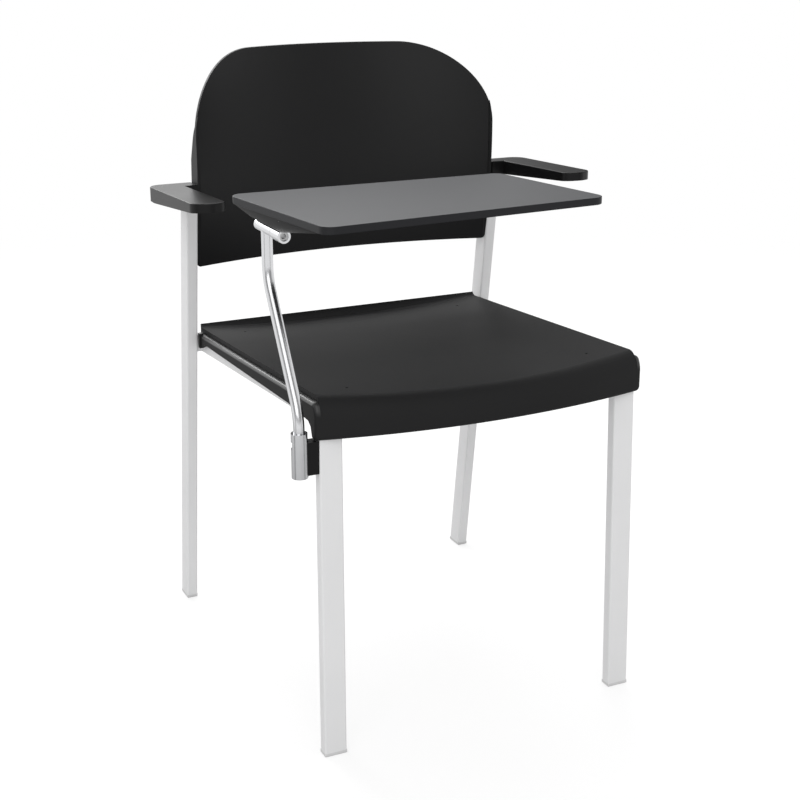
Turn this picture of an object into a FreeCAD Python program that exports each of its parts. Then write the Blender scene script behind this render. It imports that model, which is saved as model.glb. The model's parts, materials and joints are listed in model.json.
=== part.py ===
"""Stacking chair with a swinging, lifting writing tablet, as a parametric assembly.

Millimetres, +Z up, the sitter faces -Y, X = 0 is the mid-plane, Z = 0 is the floor.
Left and right are as seen from the front: the tablet stands on the left front leg.
"""
import FreeCAD
import Part
import Sketcher
import math
import os
import re
import types

SIZES = {
    # tube stock and feet
    "tube_wide": 30.0,
    "tube_narrow": 16.0,
    "tube_wall": 1.5,
    "tube_corner": 2.5,
    "glide_height": 5.0,
    "glide_insert": 18.0,
    "glide_clear": 0.1,
    "glide_chamfer": 1.2,
    # front legs: span over the outer faces at the floor, front face, slopes per millimetre of height
    "front_leg_span": 450.0,
    "front_leg_y": -244.8,
    "front_leg_lean": 0.027,
    "front_leg_splay": 0.010,
    "leg_top_drop": 16.5,
    # rear legs: how far their inner faces stand outside the front legs, rear face at the floor, slope
    "rear_leg_spread": 2.7,
    "rear_leg_y": 297.8,
    "rear_leg_lean": 0.142,
    "rear_leg_top": 639.0,
    # seat frame: drops are below the seat height
    "rail_front_drop": 27.5,
    "rail_rear_drop": 56.5,
    "rail_height": 16.0,
    "rail_inset": 1.0,
    "front_bar_drop": 42.5,
    "bar_height": 24.0,
    "bar_depth": 14.0,
    "tab_width": 30.0,
    "tab_thick": 3.0,
    "tab_drop": 2.0,
    "tab_end": 13.0,
    # seat
    "seat_gap": 0.7,
    "seat_front_y": -264.5,
    "seat_rear_y": 215.2,
    "seat_bow": 27.0,
    "seat_height": 467.5,
    "seat_fall": 0.064,
    "seat_dish": 10.5,
    "seat_nose_run": 16.0,
    "seat_nose_drop": 26.0,
    "seat_crest_round": 16.0,
    "seat_hem": 8.0,
    "seat_wall": 4.0,
    "seat_front_depth": 46.5,
    "seat_hem_back": 30.0,
    "seat_ledge": 7.0,
    "seat_ledge_drop": 6.7,
    "seat_lip_drop": 15.9,
    "seat_lip_run": 10.0,
    "seat_back_wall_drop": 28.5,
    "skirt_turn": 58.0,
    "skirt_front_drop": 24.0,
    "skirt_rear_drop": 36.9,
    "skirt_end_gap": 2.5,
    "skirt_round": 5.0,
    "skirt_crest_round": 8.0,
    "skirt_sag": 2.0,
    "skirt_shoulder_run": 11.5,
    "skirt_shoulder_drop": 7.5,
    "hook_thick": 7.0,
    "hook_drop": 9.0,
    "hook_web": 17.5,
    "hook_out": 2.0,
    "hook_rise": 1.5,
    "seat_fix_span": 338.0,
    "seat_fix_front_y": -195.9,
    "seat_fix_rear_y": 169.4,
    "boss_diameter": 16.0,
    "dimple_diameter": 3.6,
    "dimple_depth": 0.8,
    # back
    "back_gap": 0.2,
    "back_low_z": 539.6,
    "back_mid_z": 690.0,
    "back_high_z": 830.0,
    "back_low_y": 229.3,
    "back_mid_y": 247.5,
    "back_high_y": 288.5,
    "back_low_sag": 35.0,
    "back_mid_sag": 72.0,
    "back_high_sag": 102.0,
    "back_thick": 6.0,
    "back_corner": 112.0,
    "back_foot_corner": 6.0,
    "rim_set": 0.5,
    "rim_depth": 26.0,
    "rim_wall": 4.5,
    "rim_full_z": 690.0,
    "rim_end_z": 752.0,
    "back_fix_low_z": 556.0,
    "back_fix_high_z": 590.0,
    "back_fix_set": 17.0,
    # arms
    "arm_width": 44.2,
    "arm_gap": 2.7,
    "arm_lip": 4.4,
    "arm_front_y": -9.0,
    "arm_tip_slant": 11.0,
    "arm_tip_inner": 8.0,
    "arm_rear_thick": 18.5,
    "arm_front_thick": 11.5,
    "arm_rise": 0.049,
    "arm_corner": 20.0,
    "arm_tip_corner": 14.0,
    "arm_edge": 1.5,
    "tongue_depth": 40.0,
    "tongue_clear": 0.15,
    "arm_fix_z": 618.0,
    # clamp block and socket
    "clamp_gap": 0.6,
    "clamp_height": 41.4,
    "clamp_depth": 14.0,
    "clamp_wrap": 4.0,
    "clamp_fix_set": 11.0,
    "access_clear": 1.0,
    "socket_offset": 22.3,
    "socket_foot": 3.0,
    "socket_length": 56.0,
    "socket_diameter": 20.0,
    "bush_height": 6.0,
    "window_drop": 19.5,
    "window_height": 9.0,
    "window_start": 40.0,
    "window_angle": 150.0,
    # post, and the pin that stops its swing
    "post_diameter": 13.5,
    "post_offset": 91.0,
    "post_bend_rise": 2.8,
    "post_bend_radius": 65.0,
    "post_lean": 32.2,
    "swivel_clear": 0.05,
    "foot_clear": 0.05,
    "stop_pin_diameter": 6.0,
    "stop_pin_angle": 70.0,
    "stop_pin_reach": 9.6,
    # tablet hinge
    "hinge_rise": 192.5,
    "sleeve_diameter": 14.5,
    "sleeve_back": 20.0,
    "sleeve_front": 30.0,
    "bolt_diameter": 8.0,
    "hinge_clear": 0.05,
    "face_clear": 0.1,
    "washer_thick": 2.0,
    "washer_proud": 0.4,
    "knuckle_diameter": 16.0,
    "knuckle_length": 26.0,
    "bolt_head_diameter": 11.0,
    "bolt_head_height": 7.0,
    "bolt_head_sink": 2.5,
    "hexagon_width": 6.0,
    "hexagon_depth": 5.0,
    "nut_length": 6.0,
    "nut_taper": 2.0,
    "nut_rim": 0.5,
    # tablet
    "board_rise": 20.8,
    "board_thick": 9.2,
    "board_length": 376.8,
    "board_start": 6.9,
    "board_front": 165.1,
    "board_hinge_side": 231.4,
    "board_hinge_skew": 31.9,
    "board_free_side": 200.7,
    "board_free_skew": 39.2,
    "board_front_taper": 25.0,
    "board_corner": 15.0,
    "board_edge": 1.0,
    "housing_clear": 1.1,
    "housing_inset": 1.5,
    "housing_width": 46.0,
    "housing_end": 13.2,
    "housing_front_taper": 13.8,
    "housing_back_taper": 4.6,
    "housing_foot_left": 9.0,
    "housing_foot_right": 12.0,
    "housing_front": 70.0,
    "housing_back": 28.0,
    "flange_thick": 3.0,
    "flange_left": 6.0,
    "flange_right": 24.0,
    "flange_front": 57.0,
    "flange_back": 16.0,
    "web_thick": 6.0,
    "flange_fit": 0.3,
    "flange_fix_inset": 8.0,
    # screws
    "screw_diameter": 5.0,
    "screw_head_diameter": 9.5,
    "screw_head_height": 3.0,
    "screw_clear": 0.1,
    "seat_screw_length": 11.0,
    "back_screw_length": 9.0,
    "arm_screw_length": 12.0,
    "clamp_screw_length": 9.0,
    "board_screw_diameter": 3.5,
    "board_screw_head": 7.0,
    "board_screw_bite": 7.0,
}

# Places worked out from the sizes
PLACES = {
    "rear_leg_gap": "front_leg_span + 2*rear_leg_spread",
    "front_leg_top": "seat_height - leg_top_drop",
    "rail_front_z": "seat_height - rail_front_drop",
    "rail_rear_z": "seat_height - rail_rear_drop",
    "front_bar_z": "seat_height - front_bar_drop",
    "seat_lip_z": "seat_height - seat_lip_drop",
    "seat_back_wall_z": "seat_height - seat_back_wall_drop",
    "skirt_front_z": "seat_height - skirt_front_drop",
    "skirt_rear_z": "seat_height - skirt_rear_drop",
    "clamp_high": "seat_height - seat_front_depth - clamp_gap",
    "clamp_low": "clamp_high - clamp_height",
    "socket_low": "clamp_low - socket_foot",
    "socket_high": "socket_low + socket_length",
    "window_low": "socket_high - window_drop",
    "post_bend_z": "socket_high + post_bend_rise",
    "hinge_z": "seat_height + hinge_rise",
}

UP = FreeCAD.Vector(0, 0, 1)
ALONG_X = FreeCAD.Vector(1, 0, 0)
ALONG_Y = FreeCAD.Vector(0, 1, 0)
SIDES = {"left": -1, "right": 1}
# Share of the rear lip's run and of its height at the middle of its bend
LIP_BEND = (0.7, 0.3)

doc = FreeCAD.newDocument("tablet_arm_chair")
pieces = []


# Sizes and formulas

def any_word(words):
    """A pattern that finds any of the words, whole."""
    return re.compile(r"\b(" + "|".join(words) + r")\b")


def bound(formula):
    """A formula of size and place names as an expression on the sheets."""
    formula = any_word(SIZES).sub(r"sizes.\1", str(formula))
    return any_word(PLACES).sub(r"places.\1", formula)


def make_sheet(name, cells):
    """Write named values or formulas to a sheet, one aliased cell each."""
    made = doc.addObject("Spreadsheet::Sheet", name)
    for row, (alias, content) in enumerate(cells.items(), start=1):
        made.set(f"A{row}", alias)
        made.set(f"B{row}", content)
        made.setAlias(f"B{row}", alias)
    doc.recompute()
    return {alias: float(made.get(alias)) for alias in cells}


size_cells = {alias: str(value) for alias, value in SIZES.items()}
place_cells = {alias: "=" + any_word(SIZES).sub(r"sizes.\1", formula) for alias, formula in PLACES.items()}
dim = types.SimpleNamespace(**make_sheet("sizes", size_cells), **make_sheet("places", place_cells))


def bind(piece, **formulas):
    """Tie properties of an object to formulas of the sizes."""
    for name, formula in formulas.items():
        piece.setExpression(name, bound(formula))


def place(piece, point, axis=UP, angle=0.0):
    """Set an object's turn, and tie its position to three formulas."""
    piece.Placement = FreeCAD.Placement(FreeCAD.Vector(), FreeCAD.Rotation(axis, angle))
    for letter, formula in zip("xyz", point):
        piece.setExpression(f".Placement.Base.{letter}", bound(formula))
    return piece


def keep(piece, label):
    """Name a finished sub-part and put it on the list to write."""
    piece.Label = label
    pieces.append(piece)
    return piece


# Shared places, as formulas

def front_leg_face(height):
    """Distance of a front leg's outer face from the mid-plane."""
    return f"(front_leg_span/2 - front_leg_splay*({height}))"


def front_leg_front(height):
    """Depth of a front leg's front face."""
    return f"(front_leg_y + front_leg_lean*({height}))"


def rear_leg_back(height):
    """Depth of a rear leg's rear face."""
    return f"(rear_leg_y - rear_leg_lean*({height}))"


def front_leg_section(side, height):
    """Centre and widths of a front leg's section at a height."""
    return (
        f"{side}*({front_leg_face(height)} - tube_wide/2)",
        f"{front_leg_front(height)} + tube_narrow/2",
        "tube_wide",
        "tube_narrow",
    )


def rear_leg_section(side, height):
    """Centre and widths of a rear leg's section at a height."""
    return (
        f"{side}*(rear_leg_gap/2 + tube_narrow/2)",
        f"{rear_leg_back(height)} - tube_wide/2",
        "tube_narrow",
        "tube_wide",
    )


CLAMP_MIDDLE = "(clamp_low + clamp_high)/2"
SOCKET_X = f"-({front_leg_face(CLAMP_MIDDLE)} + socket_offset)"
SOCKET_Y = f"({front_leg_front(CLAMP_MIDDLE)} + tube_narrow/2)"
HINGE_Y = f"({SOCKET_Y} + post_offset)"
BORE_RADIUS = "(post_diameter/2 + swivel_clear)"
BOARD_Z = "(hinge_z + board_rise)"
FLANGE_FOOT = f"({BOARD_Z} - flange_thick)"
RAIL_FRONT_Y = f"({front_leg_front('rail_front_z')} + tube_narrow)"
RAIL_TOP_FRONT_Y = f"({front_leg_front('rail_front_z + rail_height')} + tube_narrow)"
REAR_BAR_MIDDLE = f"({rear_leg_back('(rail_rear_z + bar_height/2)')} - tube_wide/2)"
REAR_BAR_FRONT = f"({REAR_BAR_MIDDLE} - bar_depth/2)"
RAIL_OUTER = f"({front_leg_face('rail_front_z')} - rail_inset)"
RAIL_INNER = f"({RAIL_OUTER} - tube_narrow)"
ARM_REAR = rear_leg_back("rear_leg_top")


def rail_top(depth):
    """Height of a side rail's upper face at a depth."""
    run = f"({REAR_BAR_FRONT} - {RAIL_TOP_FRONT_Y})"
    fall = f"(rail_front_z - rail_rear_z)*(({depth}) - {RAIL_TOP_FRONT_Y})/{run}"
    return f"(rail_front_z + rail_height - {fall})"


# Tools for bodies, sketches and primitives

def new_body(name):
    """An empty body for sketched features."""
    return doc.addObject("PartDesign::Body", name)


def new_sketch(body, name, role, offset="0"):
    """A sketch on one of the body's own origin planes, moved along its normal."""
    sketch = body.newObject("Sketcher::SketchObject", name)
    plane = [item for item in body.Origin.OriginFeatures if item.Role == role][0]
    sketch.AttachmentSupport = [(plane, "")]
    sketch.MapMode = "FlatFace"
    sketch.setExpression(".AttachmentOffset.Base.z", bound(offset))
    return sketch


def hold(sketch, kind, geometry, end, start_value, formula):
    """Hold one coordinate of a point, measured from the sketch origin, by a formula."""
    index = sketch.addConstraint(Sketcher.Constraint(kind, -1, 1, geometry, end, start_value))
    sketch.setExpression(f"Constraints[{index}]", bound(formula))


def draw_polygon(sketch, corners):
    """A closed polygon whose corners are pairs of formulas."""
    count = len(corners)
    turns = [2 * math.pi * step / count for step in range(count)]
    rough = [FreeCAD.Vector(10 * math.cos(turn), 10 * math.sin(turn), 0) for turn in turns]
    for step in range(count):
        sketch.addGeometry(Part.LineSegment(rough[step], rough[(step + 1) % count]))
    for step in range(count):
        sketch.addConstraint(Sketcher.Constraint("Coincident", step, 2, (step + 1) % count, 1))
    for step, (across, along) in enumerate(corners):
        hold(sketch, "DistanceX", step, 1, rough[step].x, across)
        hold(sketch, "DistanceY", step, 1, rough[step].y, along)


def rectangle(section, inset="0"):
    """Corners of a rectangle from its centre and widths, drawn in by an inset."""
    middle_x, middle_y, wide, deep = section
    half_x = f"(({wide})/2 - ({inset}))"
    half_y = f"(({deep})/2 - ({inset}))"
    signs = ((-1, -1), (1, -1), (1, 1), (-1, 1))
    return [(f"{middle_x} + {a}*{half_x}", f"{middle_y} + {b}*{half_y}") for a, b in signs]


def pad(body, name, sketch, length, slope=None, middle=False):
    """Pad a sketch along its normal, or along a slope given as two formulas per unit of length."""
    feature = body.newObject("PartDesign::Pad", name)
    feature.Profile = sketch
    feature.Midplane = middle
    bind(feature, Length=length)
    lean(feature, slope)
    return feature


def pocket(body, name, sketch, length, slope=None, reverse=False):
    """Cut a sketch's shape out of the body, over a length."""
    feature = body.newObject("PartDesign::Pocket", name)
    feature.Profile = sketch
    feature.Reversed = reverse
    bind(feature, Length=length)
    lean(feature, slope)
    return feature


def lean(feature, slope):
    """Give a pad or pocket a slanting direction, with its length still measured square to the sketch."""
    if slope is None:
        return
    feature.UseCustomVector = True
    feature.AlongSketchNormal = True
    feature.Direction = UP
    feature.setExpression("Direction.x", bound(slope[0]))
    feature.setExpression("Direction.y", bound(slope[1]))


def cut_away(body, name, sketch):
    """Cut a sketch's shape through the whole body, both ways from the sketch plane."""
    feature = body.newObject("PartDesign::Pocket", name)
    feature.Profile = sketch
    feature.Type = "ThroughAll"
    feature.Midplane = True
    return feature


def round_edges(body, name, base, radius, wanted):
    """Fillet the edges of a feature that a test picks."""
    doc.recompute()
    edges = base.Shape.Edges
    names = [f"Edge{place_in_list + 1}" for place_in_list, edge in enumerate(edges) if wanted(edge)]
    feature = body.newObject("PartDesign::Fillet", name)
    feature.Base = (base, names)
    bind(feature, Radius=radius)
    return feature


def chamfer_edges(body, name, base, width, wanted):
    """Chamfer the edges of a feature that a test picks."""
    doc.recompute()
    edges = base.Shape.Edges
    names = [f"Edge{place_in_list + 1}" for place_in_list, edge in enumerate(edges) if wanted(edge)]
    feature = body.newObject("PartDesign::Chamfer", name)
    feature.Base = (base, names)
    bind(feature, Size=width)
    return feature


def cylinder(name, radius, height, point, axis=UP, angle=0.0):
    """A cylinder whose base centre is at the point, standing along the turned Z axis."""
    made = doc.addObject("Part::Cylinder", name)
    bind(made, Radius=radius, Height=height)
    return place(made, point, axis, angle)


def rod_along_y(name, radius, length, point):
    """A cylinder that lies along Y from its front end."""
    return cylinder(name, radius, length, point, ALONG_X, -90.0)


def block(name, low, spans):
    """A box from its lowest corner and its three lengths, all formulas."""
    made = doc.addObject("Part::Box", name)
    bind(made, Length=spans[0], Width=spans[1], Height=spans[2])
    return place(made, low)


def cut(name, base, *tools):
    """Take one or more solids away from a base."""
    tool = tools[0]
    if len(tools) > 1:
        tool = doc.addObject("Part::Compound", name + "_tools")
        tool.Links = list(tools)
    made = doc.addObject("Part::Cut", name)
    made.Base = base
    made.Tool = tool
    return made


def fuse(name, *solids):
    """Join solids into one."""
    made = doc.addObject("Part::MultiFuse", name)
    made.Shapes = list(solids)
    made.Refine = True
    return made


def group(label, solids):
    """Separate like solids kept together as one sub-part."""
    made = doc.addObject("Part::Compound", label + "_group")
    made.Links = solids
    return keep(made, label)


def turned(name, outline, point, axis=UP, angle=0.0):
    """A body of revolution about its own Z axis from a half outline of radius and height pairs."""
    body = new_body(name)
    sketch = new_sketch(body, name + "_outline", "XZ_Plane")
    draw_polygon(sketch, outline)
    feature = body.newObject("PartDesign::Revolution", name + "_turn")
    feature.Profile = sketch
    feature.ReferenceAxis = (sketch, ["V_Axis"])
    feature.Angle = 360.0
    return place(body, point, axis, angle)


def pan_screw(name, length, point, axis=UP, angle=0.0):
    """A pan head screw: its head lies under its point, and its shank runs up from it."""
    outline = [
        ("0", "-screw_head_height"),
        ("screw_head_diameter/2*0.7", "-screw_head_height"),
        ("screw_head_diameter/2", "-screw_head_height*0.4"),
        ("screw_head_diameter/2", "0"),
        ("screw_diameter/2", "0"),
        ("screw_diameter/2", length),
        ("0", length),
    ]
    return turned(name, outline, point, axis, angle)


def pan_screw_hole(name, length, point, axis=UP, angle=0.0):
    """The clearance hole of a pan head screw, from just under its head seat."""
    return cylinder(name, "screw_diameter/2 + screw_clear", length, point, axis, angle)


# Legs and feet

def leg(label, section, low, high, slope):
    """A slanting rectangular tube between two levels, with rounded corners and an open bore."""
    body = new_body(label + "_tube")
    outline = new_sketch(body, label + "_section", "XY_Plane", low)
    draw_polygon(outline, rectangle(section))
    stock = pad(body, label + "_stock", outline, f"{high} - {low}", slope)
    doc.recompute()
    rise = stock.Shape.BoundBox.ZLength
    round_edges(body, label + "_corners", stock, "tube_corner", lambda edge: edge.BoundBox.ZLength > rise / 2)
    bore = new_sketch(body, label + "_bore", "XY_Plane", low)
    draw_polygon(bore, rectangle(section, "tube_wall"))
    doc.recompute()
    pocket(body, label + "_hollow", bore, f"{high} - {low}", slope)
    return body


def glide(label, section, slope):
    """A foot cap: a chamfered pad under the tube's end and a plug inside its bore."""
    body = new_body(label + "_cap")
    foot = new_sketch(body, label + "_sole", "XY_Plane")
    draw_polygon(foot, rectangle(section("0")))
    sole = pad(body, label + "_pad", foot, "glide_height", slope)
    chamfer_edges(body, label + "_chamfer", sole, "glide_chamfer", lambda edge: edge.BoundBox.ZMax < 1e-6)
    doc.recompute()
    plug = new_sketch(body, label + "_plug", "XY_Plane", "glide_height")
    draw_polygon(plug, rectangle(section("glide_height"), "tube_wall + glide_clear"))
    pad(body, label + "_insert", plug, "glide_insert", slope)
    keep(body, label)


def front_legs():
    """Front legs; the left one has the holes of the clamp block's screws."""
    for side, sign in SIDES.items():
        slope = (f"{-sign}*front_leg_splay", "front_leg_lean")
        section = front_leg_section(sign, "glide_height")
        label = f"front_leg_{side}"
        tube = leg(label, section, "glide_height", "front_leg_top", slope)
        glide(f"foot_glide_front_{side}", lambda height, s=sign: front_leg_section(s, height), slope)
        if side == "right":
            keep(tube, label)
            continue
        holes = []
        for name, height in clamp_screw_heights():
            inner = f"{SOCKET_X} + socket_offset + tube_wide"
            outer = f"-({front_leg_face(height)}) - tube_wall"
            holes.append(cylinder(f"{label}_{name}_hole", "screw_diameter/2 + screw_clear", "3*tube_wall",
                                  (outer, clamp_screw_depth(height), height), ALONG_Y, 90.0))
            access = (f"{inner} - 3*tube_wall", clamp_screw_depth(height), height)
            holes.append(cylinder(f"{label}_{name}_access", "screw_head_diameter/2 + access_clear",
                                  "4*tube_wall", access, ALONG_Y, 90.0))
        keep(cut(label + "_drilled", tube, *holes), label)


def rear_legs():
    """Rear legs, drilled for the back screws in the inner wall and the arm screw in the rear wall."""
    for side, sign in SIDES.items():
        slope = ("0", "-rear_leg_lean")
        section = rear_leg_section(sign, "glide_height")
        label = f"rear_leg_{side}"
        tube = leg(label, section, "glide_height", "rear_leg_top", slope)
        glide(f"foot_glide_rear_{side}", lambda height, s=sign: rear_leg_section(s, height), slope)
        holes = []
        for name, height in back_screw_heights():
            start = f"{sign}*(rear_leg_gap/2 + 2*tube_wall)"
            holes.append(cylinder(f"{label}_{name}_hole", "screw_diameter/2 + screw_clear", "4*tube_wall",
                                  (start, back_screw_depth(height), height), ALONG_Y, -90.0 * sign))
        arm_hole = pan_screw_hole(f"{label}_arm_hole", "3*tube_wall", arm_screw_point(sign), ALONG_X, 90.0)
        tilt_to_leg(arm_hole)
        keep(cut(label + "_drilled", tube, *holes, arm_hole), label)


# Seat frame

def side_rails():
    """Sloping rails from the back of each front leg to the rear crossbar."""
    for side, sign in SIDES.items():
        label = f"side_rail_{side}"
        body = new_body(label + "_tube")
        low_x = RAIL_INNER if sign > 0 else f"-{RAIL_OUTER}"
        outline = [
            (RAIL_FRONT_Y, "rail_front_z"),
            (REAR_BAR_FRONT, "rail_rear_z"),
            (REAR_BAR_FRONT, "rail_rear_z + rail_height"),
            (RAIL_TOP_FRONT_Y, "rail_front_z + rail_height"),
        ]
        shape = new_sketch(body, label + "_side", "YZ_Plane", low_x)
        draw_polygon(shape, outline)
        pad(body, label + "_stock", shape, "tube_narrow")
        doc.recompute()
        bore = new_sketch(body, label + "_bore", "YZ_Plane", f"{low_x} + tube_narrow - tube_wall")
        drops = ("tube_wall", "tube_wall", "-tube_wall", "-tube_wall")
        draw_polygon(bore, [(across, f"{along} + {drop}") for (across, along), drop in zip(outline, drops)])
        pocket(body, label + "_hollow", bore, "tube_narrow - 2*tube_wall")
        keep(body, label)


def front_crossbar():
    """A tube between the inner faces of the front legs, whose ends follow their splay."""
    body = new_body("front_crossbar_tube")
    middle = f"({front_leg_front('front_bar_z + bar_height/2')} + tube_narrow/2)"
    levels = ("front_bar_z", "front_bar_z + bar_height")
    corners = [(f"{sign}*({front_leg_face(level)} - tube_wide)", level)
               for level, signs in zip(levels, ((-1, 1), (1, -1))) for sign in signs]
    shape = new_sketch(body, "front_crossbar_face", "XZ_Plane", f"-({middle} + bar_depth/2)")
    draw_polygon(shape, corners)
    pad(body, "front_crossbar_stock", shape, "bar_depth")
    doc.recompute()
    bore = new_sketch(body, "front_crossbar_bore", "XZ_Plane", f"-({middle} - bar_depth/2 + tube_wall)")
    drops = ("tube_wall", "tube_wall", "-tube_wall", "-tube_wall")
    draw_polygon(bore, [(across, f"{along} + {drop}") for (across, along), drop in zip(corners, drops)])
    pocket(body, "front_crossbar_hollow", bore, "bar_depth - 2*tube_wall")
    keep(body, "front_crossbar")


def rear_crossbar():
    """A tube between the inner faces of the rear legs."""
    low = ("-rear_leg_gap/2", REAR_BAR_FRONT, "rail_rear_z")
    stock = block("rear_crossbar_stock", low, ("rear_leg_gap", "bar_depth", "bar_height"))
    inner_low = ("-rear_leg_gap/2", f"{REAR_BAR_FRONT} + tube_wall", "rail_rear_z + tube_wall")
    inner = ("rear_leg_gap", "bar_depth - 2*tube_wall", "bar_height - 2*tube_wall")
    keep(cut("rear_crossbar_tube", stock, block("rear_crossbar_bore", inner_low, inner)), "rear_crossbar")


def seat_fixings():
    """Name, side and depth of each of the four seat fixings."""
    for end in ("front", "rear"):
        for side, sign in SIDES.items():
            yield f"{end}_{side}", sign, f"seat_fix_{end}_y"


def tab_top(depth):
    """Height of a seat tab's upper face."""
    return f"({rail_top(depth)} - tab_drop)"


def seat_tabs():
    """Flat tabs welded inside the rails, and the screws that come up through them into the seat."""
    screws = []
    for name, sign, depth in seat_fixings():
        reach = f"({RAIL_INNER} - seat_fix_span/2 + tab_end)"
        low_x = f"{RAIL_INNER} - {reach}" if sign > 0 else f"-{RAIL_INNER}"
        low = (low_x, f"{depth} - tab_width/2", f"{tab_top(depth)} - tab_thick")
        plate = block(f"seat_tab_{name}_plate", low, (reach, "tab_width", "tab_thick"))
        point = (f"{sign}*seat_fix_span/2", depth, f"{tab_top(depth)} - tab_thick")
        hole = pan_screw_hole(f"seat_tab_{name}_hole", "tab_thick", point)
        keep(cut(f"seat_tab_{name}_drilled", plate, hole), f"seat_tab_{name}")
        screws.append(pan_screw(f"seat_screw_{name}", "seat_screw_length", point))
    group("seat_screws", screws)


# Seat

def arc_through(start, middle, end):
    """A circular edge through three points."""
    return Part.Arc(start, middle, end).toShape()


def closed_wire(edges):
    """One loop from edges in any order."""
    return Part.Wire(Part.__sortEdges__(edges))


def joined(points):
    """Straight edges through points."""
    return [Part.makeLine(first, last) for first, last in zip(points, points[1:])]


def seat_half():
    """Half of the seat's width over its skirt."""
    return dim.rear_leg_gap / 2 - dim.seat_gap


def seat_top_z(station, depth):
    """Height of the seat's upper face, dished between its sides."""
    fall = dim.seat_fall * (depth - dim.seat_front_y)
    return dim.seat_height - fall + dim.seat_dish * (station / seat_half()) ** 2


def soft_crest(crest, centre, radius, blend):
    """Start, middle and end of an arc that joins the seat's top to the circle of its nose."""
    along = FreeCAD.Vector(0, 1, -dim.seat_fall).normalize()
    down = FreeCAD.Vector(0, -dim.seat_fall, -1).normalize()
    offset = crest + down * blend - centre
    lean = offset.dot(along)
    back = -lean - math.sqrt(lean ** 2 - offset.dot(offset) + (radius - blend) ** 2)
    start = crest + along * back
    middle = start + down * blend
    end = centre + (middle - centre).normalize() * radius
    outward = ((start - middle) + (end - middle)).normalize()
    return start, middle + outward * blend, end


def seat_section(station, drop, inset, roll, rear, lip, underside):
    """Closed outline of the seat across X: top, rolled nose, hem, a given underside and a rear lip if wanted.

    drop lowers the top, inset draws the outline in, roll is the run and the fall of the nose and the radius
    at its crest, and underside lists the lower points from front to rear, where a depth of None is that of
    the front wall.
    """
    front = dim.seat_front_y + dim.seat_bow * (station / seat_half()) ** 2 + inset
    run, fall, blend = (reach - inset for reach in roll)

    def at(depth, height):
        return FreeCAD.Vector(station, depth, height)

    def top(depth):
        return at(depth, seat_top_z(station, depth) - drop - inset)

    crest = top(front + run)
    nose_end = at(front, crest.z - fall)
    radius = (run ** 2 + fall ** 2) / (2 * run)
    centre = at(front + radius, nose_end.z)
    nose_start = crest
    edges = []
    if blend > 0:
        crest, middle, nose_start = soft_crest(crest, centre, radius, blend)
        edges.append(arc_through(crest, middle, nose_start))
    halfway = ((nose_start - centre) + (nose_end - centre)).normalize()
    edges.append(arc_through(nose_start, centre + halfway * radius, nose_end))
    below = [at(front if depth is None else depth, height) for depth, height in underside]
    if inset:
        below.insert(0, nose_end)
    else:
        hem, hem_z = dim.seat_hem, dim.seat_height - dim.seat_front_depth
        slant = hem * (1 - math.sqrt(0.5))
        hem_start, hem_end = at(front, hem_z + hem), at(front + hem, hem_z)
        edges.append(Part.makeLine(nose_end, hem_start))
        edges.append(arc_through(hem_start, at(front + slant, hem_z + slant), hem_end))
        below.insert(0, hem_end)
    edges += joined(below)
    if lip:
        foot = top(dim.seat_rear_y - dim.seat_lip_run)
        tip = at(rear, dim.seat_lip_z - inset)
        bend = at(foot.y + LIP_BEND[0] * (tip.y - foot.y), foot.z + LIP_BEND[1] * (tip.z - foot.z))
        edges.append(Part.makeLine(below[-1], tip))
        edges.append(arc_through(tip, bend, foot))
    else:
        foot = top(rear)
        edges.append(Part.makeLine(below[-1], foot))
    edges.append(Part.makeLine(foot, crest))
    return closed_wire(edges)


def seat_loft(stations, *outline):
    """A solid through seat sections at the given distances from the mid-plane."""
    wires = [seat_section(station, *outline) for station in sorted(stations)]
    return Part.makeLoft(wires, True, False)


def seat_underside(rear, rear_z):
    """Lower points of the seat from its front hem to a rear edge."""
    hem_z = dim.seat_height - dim.seat_front_depth
    turn_y, turn_z = dim.seat_front_y + dim.skirt_turn, dim.skirt_front_z - dim.skirt_sag
    return [
        (dim.seat_front_y + dim.seat_bow + dim.seat_hem_back / 2, hem_z),
        (turn_y - dim.skirt_shoulder_run, turn_z - dim.skirt_shoulder_drop),
        (turn_y, turn_z),
        (turn_y + dim.skirt_turn, dim.skirt_front_z),
        (rear, rear_z),
    ]


def side_block(sign, inner, outer, front, rear, low, high):
    """A box on one side of the mid-plane, between two distances from it."""
    start = inner if sign > 0 else -outer
    return Part.makeBox(outer - inner, rear - front, high - low, FreeCAD.Vector(start, front, low))


def skirt_roll():
    """Run and fall of the strips' nose, which lies on the circle of the panel's nose."""
    run, fall = dim.seat_nose_run, dim.seat_nose_drop
    radius = (run ** 2 + fall ** 2) / (2 * run)
    lower = fall - dim.seat_ledge_drop
    return radius - math.sqrt(radius ** 2 - lower ** 2), lower, dim.skirt_crest_round


def eased_strip(strip, sign):
    """A side strip with its outer face rounded at the front, and on from there along the ledge."""
    outer = max(strip.Faces, key=lambda face: sign * face.CenterOfMass.x).Edges
    ahead = [edge for edge in outer if edge.CenterOfMass.y < dim.seat_front_y + dim.skirt_turn]
    return strip.makeFillet(dim.skirt_round, ahead)


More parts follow.
